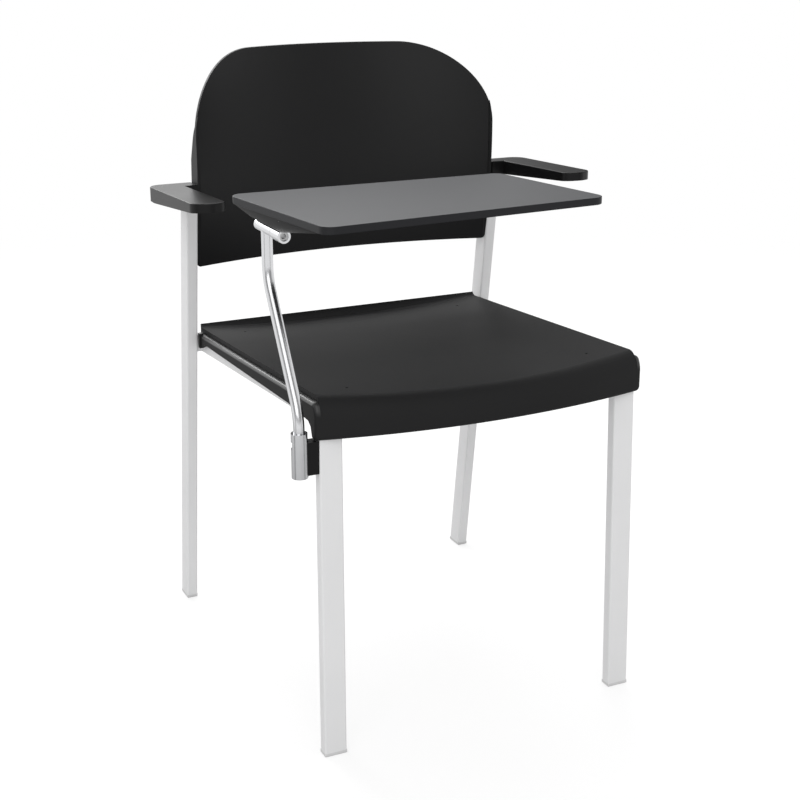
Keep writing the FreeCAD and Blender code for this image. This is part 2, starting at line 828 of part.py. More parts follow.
def seat_skirt(half, panel_half, rear):
    """The two side strips below the ledge, each with a small hook at its rear end."""
    hook_front, hook_z = rear - dim.hook_thick, dim.skirt_rear_z - dim.hook_drop
    underside = seat_underside(hook_front - dim.hook_web, dim.skirt_rear_z)
    underside += [(hook_front, hook_z), (rear, hook_z)]
    ledge_end = seat_top_z(half, rear) - dim.seat_ledge_drop
    strips = []
    for sign in SIDES.values():
        stations = (sign * panel_half, sign * half)
        strip = seat_loft(stations, dim.seat_ledge_drop, 0.0, skirt_roll(), rear, False, underside)
        hook = side_block(sign, half - dim.seat_wall, half + dim.hook_out, hook_front, rear, hook_z,
                          ledge_end + dim.hook_rise)
        strips.append(eased_strip(strip, sign).fuse(hook))
    return strips


def seat_shell(tabs, screws):
    """The moulded seat: a dished panel on a stepped skirt, hollow underneath, with four dimpled bosses."""
    half, wall = seat_half(), dim.seat_wall
    panel_half = half - dim.seat_ledge
    leg_front = dim.rear_leg_y - dim.tube_wide - dim.rear_leg_lean * dim.seat_lip_z
    skirt_rear = leg_front - dim.skirt_end_gap
    panel_roll = (dim.seat_nose_run, dim.seat_nose_drop, dim.seat_crest_round)
    floor = dim.seat_height - dim.seat_front_depth - 2 * dim.seat_hem
    open_below = [(None, floor), (dim.seat_rear_y - wall, floor)]
    shell = seat_loft((-panel_half, 0.0, panel_half), 0.0, 0.0, panel_roll, dim.seat_rear_y, True,
                      seat_underside(dim.seat_rear_y, dim.seat_back_wall_z))
    for strip in seat_skirt(half, panel_half, skirt_rear):
        shell = shell.fuse(strip)
    inner = panel_half - wall
    hollow = seat_loft((-inner, 0.0, inner), 0.0, wall, panel_roll, dim.seat_rear_y - wall, True, open_below)
    shell = shell.cut(hollow)
    rear = skirt_rear - wall
    open_below = [(None, floor), (rear, floor)]
    for sign in SIDES.values():
        stations = (sign * (inner - wall), sign * (half - wall))
        hollow = seat_loft(stations, dim.seat_ledge_drop, wall, skirt_roll(), rear, False, open_below)
        shell = shell.cut(hollow)
    for tab, screw in zip(tabs, screws):
        foot = screw.Placement.Base
        low = tab.Shape.BoundBox.ZMax
        top = seat_top_z(foot.x, foot.y)
        post_foot = FreeCAD.Vector(foot.x, foot.y, low)
        dimple_foot = FreeCAD.Vector(foot.x, foot.y, top - dim.dimple_depth)
        boss = Part.makeCylinder(dim.boss_diameter / 2, top - wall / 2 - low, post_foot)
        bore = Part.makeCylinder(dim.screw_diameter / 2, dim.seat_screw_length, foot)
        dimple = Part.makeCylinder(dim.dimple_diameter / 2, wall, dimple_foot)
        shell = shell.fuse(boss).cut(bore).cut(dimple)
    feature = doc.addObject("Part::Feature", "seat_shell_moulding")
    feature.Shape = shell.removeSplitter()
    keep(feature, "seat_shell")


# Back

def back_half():
    """Half of the back's width."""
    return dim.rear_leg_gap / 2 - dim.back_gap


def back_section(height, middle, sag):
    """Closed outline of the back panel at a height: two like arcs a wall apart."""
    half = back_half()

    def curve(shift):
        ends = [FreeCAD.Vector(sign * half, middle - sag + shift, height) for sign in (-1, 1)]
        return ends, arc_through(ends[0], FreeCAD.Vector(0, middle + shift, height), ends[1])

    front_ends, front = curve(0.0)
    rear_ends, rear = curve(dim.back_thick)
    sides = [Part.makeLine(front_ends[end], rear_ends[end]) for end in (0, 1)]
    return closed_wire([front, sides[1], rear, sides[0]])


def back_outline():
    """The back seen from the front, as a prism along Y: square foot, rounded top corners."""
    half = back_half()
    low, high = dim.back_low_z, dim.back_high_z
    corner, foot = dim.back_corner, dim.back_foot_corner
    slant = math.sqrt(0.5)

    def at(across, height):
        return FreeCAD.Vector(across, -dim.back_high_z, height)

    edges = [Part.makeLine(at(-half + foot, low), at(half - foot, low))]
    edges.append(Part.makeLine(at(-half + corner, high), at(half - corner, high)))
    for sign in (-1, 1):
        side = sign * half
        edges.append(Part.makeLine(at(side, low + foot), at(side, high - corner)))
        edges.append(arc_through(at(side - sign * foot, low), at(side - sign * foot * (1 - slant),
                                 low + foot * (1 - slant)), at(side, low + foot)))
        edges.append(arc_through(at(side, high - corner), at(side - sign * corner * (1 - slant),
                                 high - corner * (1 - slant)), at(side - sign * corner, high)))
    return Part.Face(closed_wire(edges)).extrude(FreeCAD.Vector(0, 2 * dim.back_high_z, 0))


def back_edge_y(height):
    """Depth of the back panel's front edge, a curve through its three sections."""
    heights = (dim.back_low_z, dim.back_mid_z, dim.back_high_z)
    depths = (
        dim.back_low_y - dim.back_low_sag,
        dim.back_mid_y - dim.back_mid_sag,
        dim.back_high_y - dim.back_high_sag,
    )
    total = 0.0
    for own, depth in enumerate(depths):
        share = 1.0
        for other in range(3):
            if other != own:
                share *= (height - heights[other]) / (heights[own] - heights[other])
        total += depth * share
    return total


def back_rim(sign):
    """A side wall behind the panel's edge, full depth below and running out towards the top corner."""
    outer = sign * back_half()
    foot = dim.back_low_z + dim.back_foot_corner
    steps = [foot, (foot + dim.rim_full_z) / 2, dim.rim_full_z]

    def at(depth, height):
        return FreeCAD.Vector(outer, depth, height)

    front = [at(back_edge_y(height) + dim.rim_set, height) for height in steps + [dim.rim_end_z]]
    rear = [at(back_edge_y(height) + dim.rim_depth, height) for height in steps]
    wire = Part.makePolygon(front + rear[::-1] + front[:1])
    return Part.Face(wire).extrude(FreeCAD.Vector(-sign * dim.rim_wall, 0, 0))


def back_shell(screws):
    """The moulded back: a panel lofted through three arcs, trimmed to its outline, with side rims."""
    sections = [
        back_section(dim.back_low_z, dim.back_low_y, dim.back_low_sag),
        back_section(dim.back_mid_z, dim.back_mid_y, dim.back_mid_sag),
        back_section(dim.back_high_z, dim.back_high_y, dim.back_high_sag),
    ]
    shell = Part.makeLoft(sections, True, False)
    for sign in SIDES.values():
        shell = shell.fuse(back_rim(sign))
    shell = shell.common(back_outline())
    for screw in screws:
        radius = dim.screw_diameter / 2 + dim.screw_clear
        point = screw.Placement.Base
        axis = screw.Placement.Rotation.multVec(UP)
        start = point - axis * dim.rim_wall
        shell = shell.cut(Part.makeCylinder(radius, 3 * dim.rim_wall, start, axis))
    feature = doc.addObject("Part::Feature", "back_shell_moulding")
    feature.Shape = shell.removeSplitter()
    keep(feature, "back_shell")


def back_screw_heights():
    """Names and heights of the back screws on one side."""
    return (("low", "back_fix_low_z"), ("high", "back_fix_high_z"))


def back_screw_depth(height):
    """Depth of a back screw: set in from the front face of the rear leg."""
    return f"({rear_leg_back(height)} - tube_wide + back_fix_set)"


def back_screws():
    """Screws from inside the rims into the inner walls of the rear legs."""
    made = []
    for side, sign in SIDES.items():
        for name, height in back_screw_heights():
            seat = f"{sign}*(rear_leg_gap/2 - back_gap - rim_wall)"
            made.append(pan_screw(f"back_screw_{side}_{name}", "back_screw_length",
                                  (seat, back_screw_depth(height), height), ALONG_Y, 90.0 * sign))
    group("back_screws", made)
    return made


# Arms

def arm_top(depth):
    """Height of an arm's upper face, which rises towards the front."""
    return f"(rear_leg_top + arm_rear_thick + arm_rise*({ARM_REAR} - ({depth})))"


def arm_screw_point(sign):
    """Seat of an arm screw's head, on the rear face of the rear leg."""
    return (f"{sign}*(rear_leg_gap/2 + tube_narrow/2)", rear_leg_back("arm_fix_z"), "arm_fix_z")


def tilt_to_leg(piece):
    """Turn a piece about X so that it points forward, square to the rear leg's slanting rear face."""
    piece.setExpression(".Placement.Rotation.Angle", bound("90deg + atan(rear_leg_lean)"))
    return piece


def arms():
    """Arm pads that hook over the rear legs, each with a tongue in the leg's bore and one screw."""
    screws = []
    for side, sign in SIDES.items():
        label = f"arm_{side}"
        body = new_body(label + "_pad")
        inner = "(rear_leg_gap/2 + tube_narrow + arm_gap)"
        outer = f"({inner} + arm_width)"
        notch = f"({ARM_REAR} - tube_wide - arm_lip)"
        plan = [
            (outer, "arm_front_y + arm_tip_slant"),
            (f"({inner} + arm_width/2)", "arm_front_y"),
            (inner, "arm_front_y + arm_tip_inner"),
            (inner, notch),
            ("rear_leg_gap/2", notch),
            ("rear_leg_gap/2", ARM_REAR),
            (outer, ARM_REAR),
        ]
        outline = new_sketch(body, label + "_plan", "XY_Plane", "rear_leg_top")
        draw_polygon(outline, [(f"{sign}*{across}", along) for across, along in plan])
        slab = pad(body, label + "_slab", outline, "3*arm_rear_thick")
        middle = sign * (dim.rear_leg_gap / 2 + dim.tube_narrow + dim.arm_gap + dim.arm_width / 2)

        def upright(edge):
            return edge.BoundBox.ZLength > dim.arm_rear_thick

        def rear_corner(edge):
            spot = edge.CenterOfMass
            return upright(edge) and spot.y > 0 and abs(spot.x) > abs(middle)

        def tip_corner(edge):
            spot = edge.CenterOfMass
            return upright(edge) and spot.y < dim.arm_front_y + 2 * dim.arm_tip_slant

        rear_round = round_edges(body, label + "_rear_corner", slab, "arm_corner", rear_corner)
        tip_round = round_edges(body, label + "_tip_corners", rear_round, "arm_tip_corner", tip_corner)
        doc.recompute()
        beyond = f"({ARM_REAR} + tube_wide)"
        ahead = "(arm_front_y - tube_wide)"
        above = new_sketch(body, label + "_above", "YZ_Plane")
        draw_polygon(above, [
            (ahead, arm_top(ahead)),
            (beyond, arm_top(beyond)),
            (beyond, "rear_leg_top + 6*arm_rear_thick"),
            (ahead, "rear_leg_top + 6*arm_rear_thick"),
        ])
        cut_away(body, label + "_top", above)
        below = new_sketch(body, label + "_below", "YZ_Plane")
        front_low = f"({arm_top('arm_front_y')} - arm_front_thick)"
        draw_polygon(below, [
            (notch, "rear_leg_top"),
            ("arm_front_y", front_low),
            (ahead, front_low),
            (ahead, "rear_leg_top - arm_rear_thick"),
            (notch, "rear_leg_top - arm_rear_thick"),
        ])
        last = cut_away(body, label + "_underside", below)

        def rim_of_top(edge):
            rear = dim.rear_leg_y - dim.rear_leg_lean * dim.rear_leg_top
            crest = dim.rear_leg_top + dim.arm_rear_thick
            return all(abs(crest + dim.arm_rise * (rear - end.Y) - end.Z) < 0.01 for end in edge.Vertexes)

        round_edges(body, label + "_edge", last, "arm_edge", rim_of_top)
        doc.recompute()
        tongue = new_sketch(body, label + "_tongue_section", "XY_Plane", "rear_leg_top - tongue_depth")
        foot = rear_leg_section(sign, "(rear_leg_top - tongue_depth)")
        draw_polygon(tongue, rectangle(foot, "tube_wall + tongue_clear"))
        pad(body, label + "_tongue", tongue, "tongue_depth", ("0", "-rear_leg_lean"))
        screw = pan_screw(f"arm_screw_{side}", "arm_screw_length", arm_screw_point(sign), ALONG_X, 90.0)
        screws.append(tilt_to_leg(screw))
        bore = cylinder(f"{label}_screw_bore", "screw_diameter/2", "arm_screw_length",
                        arm_screw_point(sign), ALONG_X, 90.0)
        keep(cut(label + "_bored", body, tilt_to_leg(bore)), label)
    group("arm_screws", screws)


# Clamp block, socket and bush

def clamp_screw_heights():
    """Names and heights of the clamp screws."""
    return (("low", "(clamp_low + clamp_fix_set)"), ("high", "(clamp_high - clamp_fix_set)"))


def clamp_screw_depth(height):
    """Depth of a clamp screw, on the leg's middle."""
    return f"({front_leg_front(height)} + tube_narrow/2)"


def clamp_block():
    """The black block between the leg and the socket, cradling the socket, held from inside the leg."""
    body = new_body("socket_clamp_block")
    levels = ("clamp_low", "clamp_high")
    inner = f"({SOCKET_X} + socket_diameter/2 - clamp_wrap)"
    face = new_sketch(body, "socket_clamp_face", "XZ_Plane", f"-({SOCKET_Y} + clamp_depth/2)")
    draw_polygon(face, [
        (inner, levels[0]),
        (f"-{front_leg_face(levels[0])}", levels[0]),
        (f"-{front_leg_face(levels[1])}", levels[1]),
        (inner, levels[1]),
    ])
    pad(body, "socket_clamp_stock", face, "clamp_depth")
    cradle = cylinder("socket_clamp_cradle", "socket_diameter/2", "clamp_high - clamp_low",
                      (SOCKET_X, SOCKET_Y, "clamp_low"))
    screws = []
    bores = [cradle]
    for name, height in clamp_screw_heights():
        point = (f"-{front_leg_face(height)} + tube_wall + screw_clear", clamp_screw_depth(height), height)
        screws.append(pan_screw(f"clamp_screw_{name}", "clamp_screw_length", point, ALONG_Y, -90.0))
        bores.append(cylinder(f"clamp_screw_{name}_bore", "screw_diameter/2", "clamp_screw_length",
                              point, ALONG_Y, -90.0))
    keep(cut("socket_clamp_cradled", body, *bores), "socket_clamp")
    group("clamp_screws", screws)


def socket():
    """The chrome tube that the post turns in, with a window for the stop pin, and its foot bush."""
    foot = (SOCKET_X, SOCKET_Y, "socket_low")
    outer = cylinder("socket_outside", "socket_diameter/2", "socket_high - socket_low", foot)
    inner = cylinder("socket_bore", BORE_RADIUS, "socket_high - socket_low", foot)
    window = cylinder("socket_window", "socket_diameter", "window_height", (SOCKET_X, SOCKET_Y, "window_low"))
    bind(window, Angle="window_angle")
    window.setExpression(".Placement.Rotation.Angle", bound("window_start"))
    keep(cut("socket_tube_cut", outer, inner, window), "socket_tube")
    keep(cylinder("socket_bush_plug", BORE_RADIUS, "bush_height", foot), "socket_bush")


# Post

def post_path(body):
    """Centre line of the post in its own plane: upright, leaning back, upright again."""
    sketch = new_sketch(body, "post_path", "YZ_Plane")
    turn = math.radians(dim.post_lean)
    radius, foot = dim.post_bend_radius, dim.socket_low + dim.bush_height + dim.foot_clear
    side, rise = radius * (1 - math.cos(turn)), radius * math.sin(turn)
    run = (dim.post_offset - 2 * side) / math.sin(turn)
    first = FreeCAD.Vector(0, dim.post_bend_z, 0)
    second = first + FreeCAD.Vector(side, rise, 0)
    third = second + FreeCAD.Vector(run * math.sin(turn), run * math.cos(turn), 0)
    fourth = third + FreeCAD.Vector(side, rise, 0)
    flat = FreeCAD.Vector(0, 0, 1)
    low_bend = Part.Circle(first + FreeCAD.Vector(radius, 0, 0), flat, radius)
    high_bend = Part.Circle(fourth - FreeCAD.Vector(radius, 0, 0), flat, radius)
    sketch.addGeometry(Part.LineSegment(FreeCAD.Vector(0, foot, 0), first))
    sketch.addGeometry(Part.ArcOfCircle(low_bend, math.pi - turn, math.pi))
    sketch.addGeometry(Part.LineSegment(second, third))
    sketch.addGeometry(Part.ArcOfCircle(high_bend, -turn, 0))
    sketch.addGeometry(Part.LineSegment(fourth, FreeCAD.Vector(dim.post_offset, dim.hinge_z, 0)))
    for line, line_end, bend, bend_end in ((0, 2, 1, 2), (2, 1, 1, 1), (2, 2, 3, 1), (4, 1, 3, 2)):
        sketch.addConstraint(Sketcher.Constraint("Tangent", line, line_end, bend, bend_end))
    sketch.addConstraint(Sketcher.Constraint("Vertical", 0))
    sketch.addConstraint(Sketcher.Constraint("Vertical", 4))
    hold(sketch, "DistanceX", 0, 1, 0.0, "0")
    hold(sketch, "DistanceY", 0, 1, foot, "socket_low + bush_height + foot_clear")
    hold(sketch, "DistanceY", 0, 2, dim.post_bend_z, "post_bend_z")
    hold(sketch, "DistanceX", 4, 2, dim.post_offset, "post_offset")
    hold(sketch, "DistanceY", 4, 2, dim.hinge_z, "hinge_z")
    for bend in (1, 3):
        index = sketch.addConstraint(Sketcher.Constraint("Radius", bend, radius))
        sketch.setExpression(f"Constraints[{index}]", bound("post_bend_radius"))
    angle = sketch.addConstraint(Sketcher.Constraint("Angle", 2, math.pi / 2 - turn))
    sketch.setExpression(f"Constraints[{angle}]", bound("90deg - 1deg*post_lean"))
    return sketch


def stop_pin(name):
    """The level pin that stops the swing: from inside the rod, along its resting angle."""
    turn = math.radians(dim.stop_pin_angle)
    across = FreeCAD.Vector(-math.sin(turn), math.cos(turn), 0)
    back = "post_diameter/4"
    point = (
        f"{SOCKET_X} - {back}*cos(stop_pin_angle)",
        f"{SOCKET_Y} - {back}*sin(stop_pin_angle)",
        "window_low + window_height/2",
    )
    return cylinder(name, "stop_pin_diameter/2", f"stop_pin_reach + {back}", point, across, 90.0)


def post():
    """The bent chrome rod, its stop pin, and the hinge sleeve brazed to its top."""
    body = new_body("post_rod")
    path = post_path(body)
    ring = new_sketch(body, "post_section", "XY_Plane", "socket_low + bush_height + foot_clear")
    ring.addGeometry(Part.Circle(FreeCAD.Vector(), UP, dim.post_diameter / 2))
    ring.addConstraint(Sketcher.Constraint("Coincident", 0, 3, -1, 1))
    index = ring.addConstraint(Sketcher.Constraint("Diameter", 0, dim.post_diameter))
    ring.setExpression(f"Constraints[{index}]", bound("post_diameter"))
    doc.recompute()
    rod = body.newObject("PartDesign::AdditivePipe", "post_sweep")
    rod.Profile = ring
    rod.Spine = (path, [f"Edge{number}" for number in range(1, 6)])
    place(body, (SOCKET_X, SOCKET_Y, "0"))
    sleeve_low = (SOCKET_X, f"{HINGE_Y} - sleeve_front", "hinge_z")
    length = "sleeve_front + sleeve_back"
    mouth = rod_along_y("post_mouth", "sleeve_diameter/2", length, sleeve_low)
    keep(cut("post_drilled", body, stop_pin("stop_pin_bore"), mouth), "post")
    keep(stop_pin("stop_pin_rod"), "post_stop_pin")
    outer = rod_along_y("sleeve_outside", "sleeve_diameter/2", length, sleeve_low)
    inner = rod_along_y("sleeve_bore", "bolt_diameter/2 + hinge_clear", length, sleeve_low)
    keep(cut("sleeve_cut", outer, inner), "hinge_sleeve")


# Tablet hinge

def hinge_bolt():
    """The bolt that the tablet turns on, its washer and its end nut."""
    front = f"({HINGE_Y} - sleeve_front - washer_thick - face_clear - knuckle_length + bolt_head_sink)"
    through = "knuckle_length - bolt_head_sink + washer_thick + 2*face_clear + sleeve_front + sleeve_back"
    shank = f"{through} + nut_length - nut_taper"
    body = turned("hinge_bolt_body", [
        ("0", "0"),
        ("bolt_head_diameter/2", "0"),
        ("bolt_head_diameter/2", "bolt_head_height"),
        ("bolt_diameter/2", "bolt_head_height"),
        ("bolt_diameter/2", shank),
        ("0", shank),
    ], (SOCKET_X, front, "hinge_z"), ALONG_X, -90.0)
    recess = doc.addObject("Part::Prism", "hinge_bolt_recess")
    recess.Polygon = 6
    bind(recess, Circumradius="hexagon_width/sqrt(3)", Height="hexagon_depth")
    place(recess, (SOCKET_X, front, "hinge_z"), ALONG_X, -90.0)
    keep(cut("hinge_bolt_cut", body, recess), "hinge_bolt")
    washer_point = (SOCKET_X, f"{HINGE_Y} - sleeve_front - face_clear - washer_thick", "hinge_z")
    outer = rod_along_y("hinge_washer_disc", "sleeve_diameter/2 + washer_proud", "washer_thick", washer_point)
    inner = rod_along_y("hinge_washer_bore", "bolt_diameter/2", "washer_thick", washer_point)
    keep(cut("hinge_washer_cut", outer, inner), "hinge_washer")
    nut = turned("hinge_nut_body", [
        ("bolt_diameter/2", "0"),
        ("sleeve_diameter/2", "0"),
        ("sleeve_diameter/2", "nut_length - nut_taper"),
        ("bolt_diameter/2 + nut_rim", "nut_length"),
        ("0", "nut_length"),
        ("0", "nut_length - nut_taper"),
        ("bolt_diameter/2", "nut_length - nut_taper"),
    ], (SOCKET_X, f"{HINGE_Y} + sleeve_back + face_clear", "hinge_z"), ALONG_X, -90.0)
    keep(nut, "hinge_nut")


def flange_screw_points():
    """Places of the four flange screws, beside the hinge axis."""
    ends = {"front": "-(flange_front - flange_fix_inset)", "back": "(flange_back - flange_fix_inset)"}
    sides = {"near": "-(flange_left - flange_fix_inset)", "far": "(flange_right - flange_fix_inset)"}
    for end, along in ends.items():
        for side, across in sides.items():
            yield f"{end}_{side}", (f"{SOCKET_X} + {across}", f"{HINGE_Y} + {along}")


def countersunk_outline(length):
    """Half outline of a countersunk screw that points up from the flush face of its head."""
    depth = "(board_screw_head - board_screw_diameter)/2"
    return [
        ("0", "0"),
        ("board_screw_head/2", "0"),
        ("board_screw_diameter/2", depth),
        ("board_screw_diameter/2", length),
        ("0", length),
    ]


def hinge_bracket():
    """Steel bracket of the tablet: a knuckle on the bolt, a web up from it and a flange under the board."""
    low_y = f"({HINGE_Y} - sleeve_front - washer_thick - face_clear - knuckle_length)"
    point = (SOCKET_X, low_y, "hinge_z")
    knuckle = rod_along_y("hinge_knuckle", "knuckle_diameter/2", "knuckle_length", point)
    web_length = f"{low_y} + knuckle_length - {HINGE_Y} + flange_front"
    web = block("hinge_web", (f"{SOCKET_X} - web_thick/2", f"{HINGE_Y} - flange_front", "hinge_z"),
                ("web_thick", web_length, "board_rise - flange_thick"))
    flange = block("hinge_flange",
                   (f"{SOCKET_X} - flange_left", f"{HINGE_Y} - flange_front", FLANGE_FOOT),
                   ("flange_left + flange_right", "flange_front + flange_back", "flange_thick"))
    bore = rod_along_y("hinge_bracket_bore", "bolt_diameter/2", "knuckle_length", point)
    head = rod_along_y("hinge_bracket_head_bore", "bolt_head_diameter/2", "bolt_head_sink + bolt_head_height",
                       point)
    screws = []
    holes = []
    for name, (across, along) in flange_screw_points():
        spot = (across, along, FLANGE_FOOT)
        outline = countersunk_outline("flange_thick + board_screw_bite")
        screws.append(turned(f"flange_screw_{name}", outline, spot))
        holes.append(turned(f"flange_hole_{name}", outline, spot))
    whole = fuse("hinge_bracket_blank", knuckle, web, flange)
    keep(cut("hinge_bracket_cut", whole, bore, head, *holes), "hinge_bracket")
    group("flange_screws", screws)


# Tablet

HINGE_EDGE_SLOPE = "board_hinge_skew/board_hinge_side"


def board_corners(inset="0"):
    """Plan corners of the board about the hinge: front hinge, front free, rear free, rear hinge."""
    left = f"(board_start + {inset})"
    right = f"(board_start + board_length - {inset})"
    front = f"(-board_front + {inset})"
    return [
        (left, front),
        (right, f"{front} + board_front_taper"),
        (f"{right} - board_free_skew", f"{front} + board_front_taper + board_free_side - 2*{inset}"),
        (f"{left} - board_hinge_skew", f"{front} + board_hinge_side - 2*{inset}"),
    ]


def housing_screw_points():
    """Places of the two housing screws, along the middle of its long tapering ends."""
    front = "(-housing_front - board_front)/2"
    back = "(housing_back + board_hinge_side - board_front)/2"
    for end, along in (("front", front), ("back", back)):
        across = f"(board_start - ({along} + board_front)*{HINGE_EDGE_SLOPE} + housing_width/2)"
        yield end, (f"{SOCKET_X} + {across}", f"{HINGE_Y} + {along}")


def tablet():
    """The writing board, the hinge housing under it and the housing's screws."""
    body = new_body("tablet_board_slab")
    plan = new_sketch(body, "tablet_board_plan", "XY_Plane")
    draw_polygon(plan, board_corners())
    slab = pad(body, "tablet_board_pad", plan, "board_thick")
    corners = round_edges(body, "tablet_board_corners", slab, "board_corner",
                          lambda edge: edge.BoundBox.ZLength > 0.5 * dim.board_thick)
    round_edges(body, "tablet_board_edge", corners, "board_edge",
                lambda edge: edge.BoundBox.ZLength < 0.5 * dim.board_thick)
    place(body, (SOCKET_X, HINGE_Y, BOARD_Z))
    pilots = []
    screws = []
    for name, (across, along) in flange_screw_points():
        pilots.append(cylinder(f"board_pilot_{name}", "board_screw_diameter/2", "board_screw_bite",
                               (across, along, BOARD_Z)))
    for name, (across, along) in housing_screw_points():
        spot = (across, along, FLANGE_FOOT)
        outline = countersunk_outline("flange_thick + board_screw_bite")
        screws.append(turned(f"housing_screw_{name}", outline, spot))
        pilots.append(cylinder(f"board_pilot_housing_{name}", "board_screw_diameter/2", "board_screw_bite",
                               (across, along, BOARD_Z)))
    keep(cut("tablet_board_drilled", body, *pilots), "tablet_board")
    housing()
    group("housing_screws", screws)


def housing():
    """A shallow boat under the hinge edge of the board, from a long thin plan to a foot over the sleeve."""
    body = new_body("tablet_housing_boat")
    low_z = "(hinge_z + sleeve_diameter/2 + housing_clear)"
    near = board_corners("housing_inset")
    front_near, rear_near = near[0], near[3]
    drift = f"housing_end*{HINGE_EDGE_SLOPE}"
    upper = [
        (f"{front_near[0]} - {drift}", f"{front_near[1]} + housing_end"),
        (f"{front_near[0]} - {drift} + housing_width",
         f"{front_near[1]} + housing_end + housing_front_taper"),
        (f"{rear_near[0]} + {drift} + housing_width", f"{rear_near[1]} - housing_end - housing_back_taper"),
        (f"{rear_near[0]} + {drift}", f"{rear_near[1]} - housing_end"),
    ]
    lower = [
        ("-housing_foot_left", "-housing_front"),
        ("housing_foot_right", "-housing_front"),
        ("housing_foot_right", "housing_back"),
        ("-housing_foot_left", "housing_back"),
    ]
    foot = new_sketch(body, "tablet_housing_foot", "XY_Plane", low_z)
    draw_polygon(foot, lower)
    rim = new_sketch(body, "tablet_housing_rim", "XY_Plane", BOARD_Z)
    draw_polygon(rim, upper)
    loft = body.newObject("PartDesign::AdditiveLoft", "tablet_housing_loft")
    loft.Profile = foot
    loft.Sections = [rim]
    loft.Ruled = True
    place(body, (SOCKET_X, HINGE_Y, "0"))
    recess = block("tablet_housing_recess", (
        f"{SOCKET_X} - flange_left - flange_fit",
        f"{HINGE_Y} - flange_front - flange_fit",
        FLANGE_FOOT,
    ), (
        "flange_left + flange_right + 2*flange_fit",
        "flange_front + flange_back + 2*flange_fit",
        "flange_thick",
    ))
    slot = block("tablet_housing_slot", (
        f"{SOCKET_X} - web_thick/2 - flange_fit",
        f"{HINGE_Y} - flange_front - flange_fit",
        "hinge_z",
    ), (
        "web_thick + 2*flange_fit",
        "flange_front - sleeve_front + 2*flange_fit",
        "board_rise",
    ))
    holes = [recess, slot]
    for name, (across, along) in housing_screw_points():
        outline = [("0", "-board_rise"), ("board_screw_head/2", "-board_rise")]
        outline += countersunk_outline("flange_thick")[1:]
        holes.append(turned(f"housing_hole_{name}", outline, (across, along, FLANGE_FOOT)))
    keep(cut("tablet_housing_hollowed", body, *holes), "tablet_housing")


# Assembly

def find(label):
    """The finished sub-part of that name."""
    return [piece for piece in pieces if piece.Label == label][0]


def build():
    """Make every sub-part in the order of assembly."""
    front_legs()
    rear_legs()
    side_rails()
    front_crossbar()
    rear_crossbar()
    seat_tabs()
    screws = back_screws()
    doc.recompute()
    tabs = [find(f"seat_tab_{name}") for name, _, _ in seat_fixings()]
    seat_shell(tabs, find("seat_screws").Links)
    back_shell(screws)
    arms()
    clamp_block()
    socket()
    post()
    hinge_bolt()
    hinge_bracket()
    tablet()
    doc.recompute()


def check():
    """Stop if any object failed or any sub-part is not sound."""
    for item in doc.Objects:
        if "Invalid" in item.State or "Error" in item.State:
            raise RuntimeError(f"{item.Label} failed: {item.State}")
    for piece in pieces:
        if piece.Shape.isNull() or not piece.Shape.isValid():
            raise RuntimeError(f"{piece.Label} has no sound shape")


def write():
    """Write each sub-part to its own file."""
    os.makedirs("parts", exist_ok=True)
    for piece in pieces:
        piece.Shape.exportStep(f"parts/{piece.Label}.step")


build()
check()
write()
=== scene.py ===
"""Tablet arm chair: finishes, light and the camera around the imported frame."""
import bmesh
import bpy
import json
import math
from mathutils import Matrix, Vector


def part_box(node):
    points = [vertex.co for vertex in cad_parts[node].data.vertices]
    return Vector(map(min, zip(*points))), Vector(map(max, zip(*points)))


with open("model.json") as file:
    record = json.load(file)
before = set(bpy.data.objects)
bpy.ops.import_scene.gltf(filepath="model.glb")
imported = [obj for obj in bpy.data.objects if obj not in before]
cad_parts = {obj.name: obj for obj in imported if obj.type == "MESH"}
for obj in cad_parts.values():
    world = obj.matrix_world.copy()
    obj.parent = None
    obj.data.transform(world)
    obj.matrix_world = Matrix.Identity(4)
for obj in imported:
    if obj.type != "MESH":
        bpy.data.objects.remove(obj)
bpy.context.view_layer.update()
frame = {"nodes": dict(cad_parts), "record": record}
nodes = frame["nodes"]


# Shader arithmetic

class Signal:
    """One shader socket; arithmetic on it adds the Math nodes that the expression needs."""

    def __init__(self, finish, socket):
        self.finish = finish
        self.socket = socket

    def combine(self, operation, first, second):
        """The result of one Math node on two signals or numbers."""
        return self.finish.node("Math", {"operation": operation}, {0: first, 1: second})

    def __add__(self, other):
        return self.combine("ADD", self, other)

    def __sub__(self, other):
        return self.combine("SUBTRACT", self, other)

    def __rsub__(self, other):
        return self.combine("SUBTRACT", other, self)

    def __mul__(self, other):
        return self.combine("MULTIPLY", self, other)

    __radd__ = __add__
    __rmul__ = __mul__


# A Mix node's sockets for colours, by number, because its sockets for other data have the same names
MIX_AMOUNT = 0
MIX_LOW = 6
MIX_HIGH = 7
MIX_COLOUR = 2


